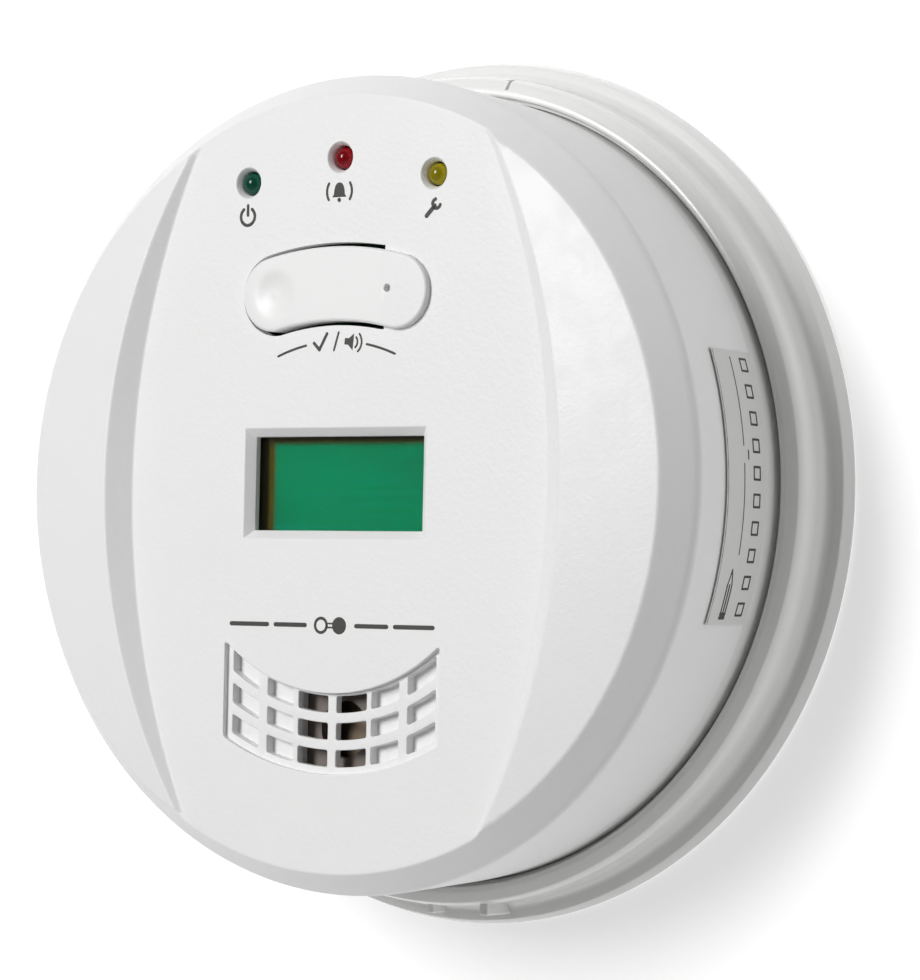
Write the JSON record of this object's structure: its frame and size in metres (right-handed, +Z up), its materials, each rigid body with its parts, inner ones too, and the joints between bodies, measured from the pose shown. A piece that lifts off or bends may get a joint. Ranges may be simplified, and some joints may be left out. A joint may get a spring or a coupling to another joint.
{
  "type": "carbon monoxide detector",
  "caption": "Round wall-mounted gas alarm with a domed face, indicator lights, an arched test button, a display window and a curved grille, on a twist-lock wall plate.",
  "frame": {"origin": "centre of the wall plate's flat back face", "axes": "+Z up, front of the detector faces -Y, the wall is on the +Y side, +X to the right seen from the front"},
  "size_m": [0.125, 0.0384, 0.125],
  "materials": {
    "mounting_plate": "smooth white moulding",
    "white_plastic": "white, fine spark texture",
    "button_plastic": "white, smooth satin",
    "black_plastic": "moulded black",
    "dark_brown_plastic": "moulded dark brown",
    "clear_window": "clear window",
    "display_glass": "green display glass",
    "backlight_plastic": "diffusing light guide",
    "rubber": "layered conductive rubber",
    "circuit_board": "green solder mask",
    "led_green": "tinted green lens",
    "led_red": "tinted red lens",
    "led_yellow": "tinted yellow lens",
    "spacer_plastic": "natural nylon",
    "steel": "nickel-plated",
    "brass": "plain",
    "felt": "pressed felt",
    "capacitor_sleeve": "heat-shrunk sleeve",
    "cell_jacket": "printed jacket",
    "label_paper": "pale grey, faint ruled lines"
  },
  "bodies": {
    "wall_plate": {"mounting_plate": "mounting_plate"},
    "alarm": {"rear_housing": "white_plastic", "front_cover": "white_plastic", "switch_body": "black_plastic", "microcontroller": "black_plastic", "boost_inductor": "black_plastic", "sounder_coil": "black_plastic", "lcd_frame": "dark_brown_plastic", "sounder_chamber": "dark_brown_plastic", "lcd_window": "clear_window", "lcd_panel": "display_glass", "lcd_backlight": "backlight_plastic", "lcd_connector_upper": "rubber", "lcd_connector_lower": "rubber", "circuit_board": "circuit_board", "led_power": "led_green", "led_alarm": "led_red", "led_fault": "led_yellow", "led_spacer_power": "spacer_plastic", "led_spacer_alarm": "spacer_plastic", "led_spacer_fault": "spacer_plastic", "co_sensor": "steel", "clock_crystal": "steel", "contact_positive": "steel", "contact_bridge_left": "steel", "contact_bridge_right": "steel", "contact_negative": "steel", "board_screw_1": "steel", "board_screw_2": "steel", "board_screw_3": "steel", "housing_screw_1": "steel", "housing_screw_2": "steel", "housing_screw_3": "steel", "housing_screw_4": "steel", "piezo_disc": "brass", "sensor_filter": "felt", "capacitor_1": "capacitor_sleeve", "capacitor_2": "capacitor_sleeve", "battery_1": "cell_jacket", "battery_2": "cell_jacket", "battery_3": "cell_jacket", "date_label": "label_paper"},
    "button": {"test_button": "button_plastic"},
    "plunger": {"switch_plunger": "black_plastic"}
  },
  "joints": [
    {"name": "twist_lock", "type": "hinge", "parent": "wall_plate", "child": "alarm", "pos_m": [0, 0, 0], "axis": [0, -1, 0], "range_deg": [0, 15]},
    {"name": "button_press", "type": "hinge", "parent": "alarm", "child": "button", "pos_m": [0.00805, -0.0349, 0.0264], "axis": [0, 0, -1], "range_deg": [0, 1.8], "stiffness_Nm_per_rad": 0.8},
    {"name": "plunger_press", "type": "slide", "parent": "alarm", "child": "plunger", "axis": [0, 1, 0], "range_m": [0, 0.0003]}
  ],
  "couplings": [
    {"joint": "plunger_press", "follows": "button_press", "m_per_rad": 0.00805}
  ]
}
